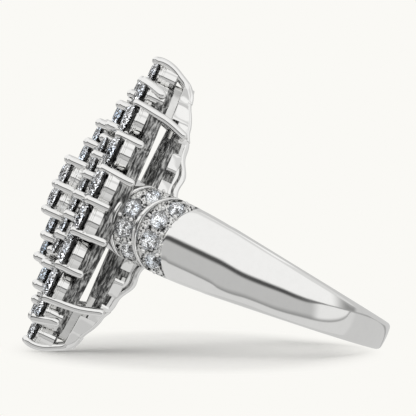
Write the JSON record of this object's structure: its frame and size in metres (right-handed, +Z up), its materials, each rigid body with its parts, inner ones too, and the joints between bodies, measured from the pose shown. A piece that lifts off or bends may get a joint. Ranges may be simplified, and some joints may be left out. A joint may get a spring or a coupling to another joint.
{
  "type": "cluster ring",
  "caption": "Navette-shaped cluster ring of tiered prong-set round brilliants, with paved crescent shoulders on a domed, tapering white-metal band.",
  "frame": {"origin": "on the surface the ring lies on, under the middle of its box", "axes": "+Z up from that surface; +X from the head to the back of the band; the finger's axis lies in the XZ plane, leaning from +Z towards +X by 25 degrees; +Y across the band"},
  "size_m": [0.0269, 0.0204, 0.0214],
  "materials": {
    "white_metal": "polished",
    "brilliant": "polished"
  },
  "bodies": {
    "root": {"mounting": "white_metal", "center_stone_1": "brilliant", "center_stone_2": "brilliant", "center_stone_3": "brilliant", "center_stone_4": "brilliant", "ridge_stone_1": "brilliant", "ridge_stone_2": "brilliant", "ridge_stone_3": "brilliant", "ridge_stone_4": "brilliant", "ridge_stone_5": "brilliant", "ridge_stone_6": "brilliant", "inner_stone_1": "brilliant", "inner_stone_2": "brilliant", "inner_stone_3": "brilliant", "inner_stone_4": "brilliant", "inner_stone_5": "brilliant", "inner_stone_6": "brilliant", "inner_stone_7": "brilliant", "inner_stone_8": "brilliant", "inner_stone_9": "brilliant", "inner_stone_10": "brilliant", "inner_stone_11": "brilliant", "inner_stone_12": "brilliant", "outer_stone_1": "brilliant", "outer_stone_2": "brilliant", "outer_stone_3": "brilliant", "outer_stone_4": "brilliant", "outer_stone_5": "brilliant", "outer_stone_6": "brilliant", "outer_stone_7": "brilliant", "outer_stone_8": "brilliant", "outer_stone_9": "brilliant", "outer_stone_10": "brilliant", "outer_stone_11": "brilliant", "outer_stone_12": "brilliant", "outer_stone_13": "brilliant", "outer_stone_14": "brilliant", "outer_stone_15": "brilliant", "outer_stone_16": "brilliant", "outer_stone_17": "brilliant", "outer_stone_18": "brilliant"}
  },
  "joints": []
}
